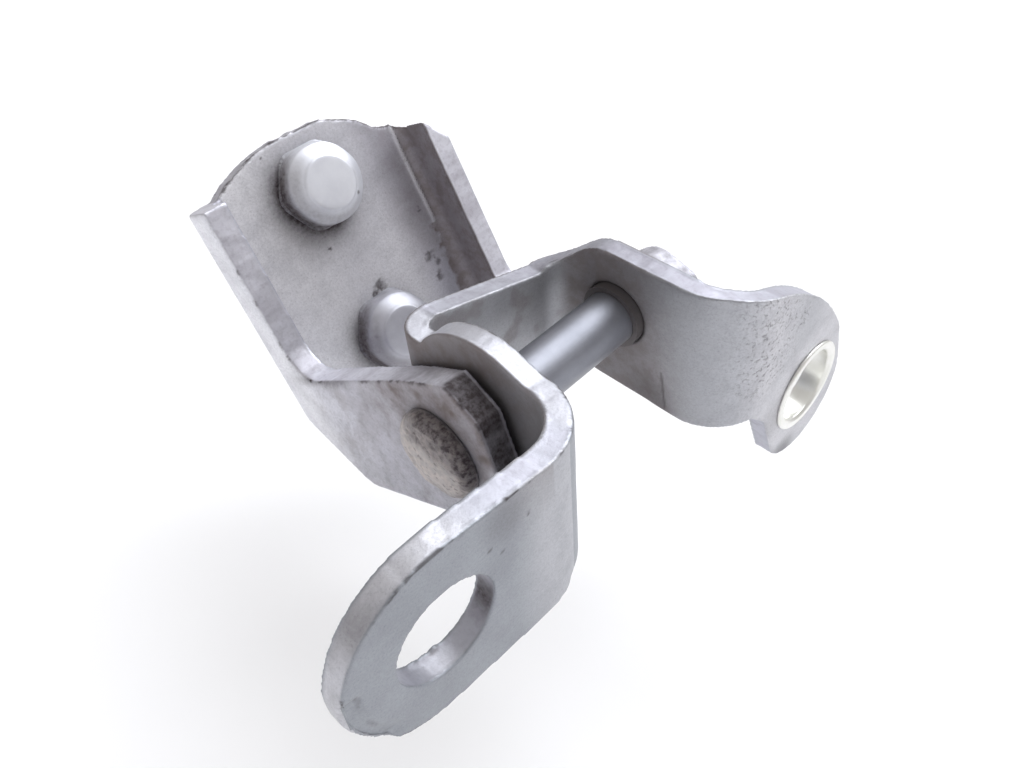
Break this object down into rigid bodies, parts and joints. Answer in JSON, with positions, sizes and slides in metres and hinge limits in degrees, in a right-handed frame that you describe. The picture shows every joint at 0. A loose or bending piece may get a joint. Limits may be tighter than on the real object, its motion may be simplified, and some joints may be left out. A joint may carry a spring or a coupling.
{
  "type": "car door hinge",
  "caption": "Car door hinge of folded steel plate: a channel bracket with captive hex bolts pivots on a headed pin through a hat-shaped strap with a holed wing and a sleeved pad.",
  "frame": {"origin": "centre of the front wing's hole on the wing's outer face, which lies against the door", "axes": "+X out of that face towards the door; +Z along the pin towards its head, upright as fitted on a car; +Y completes the right-handed set"},
  "size_m": [0.1088, 0.061, 0.121],
  "materials": {
    "bracket_plate": "zinc plated, worn",
    "strap_plate": "zinc plated, worn",
    "pin_steel": "ground",
    "bush_metal": "dull",
    "bolt_zinc": "zinc plated",
    "sleeve_plating": "bright plated"
  },
  "bodies": {
    "strap": {"hat_strap": "strap_plate", "bush_front": "bush_metal", "bush_back": "bush_metal", "pad_sleeve": "sleeve_plating"},
    "bracket": {"channel_bracket": "bracket_plate", "hinge_pin": "pin_steel", "bolt_upper": "bolt_zinc", "bolt_lower": "bolt_zinc"}
  },
  "joints": [
    {"name": "door_swing", "type": "hinge", "parent": "strap", "child": "bracket", "pos_m": [-0.025, -0.0034, -0.0484], "axis": [0, 0, 1], "range_deg": [-28, 42]}
  ]
}
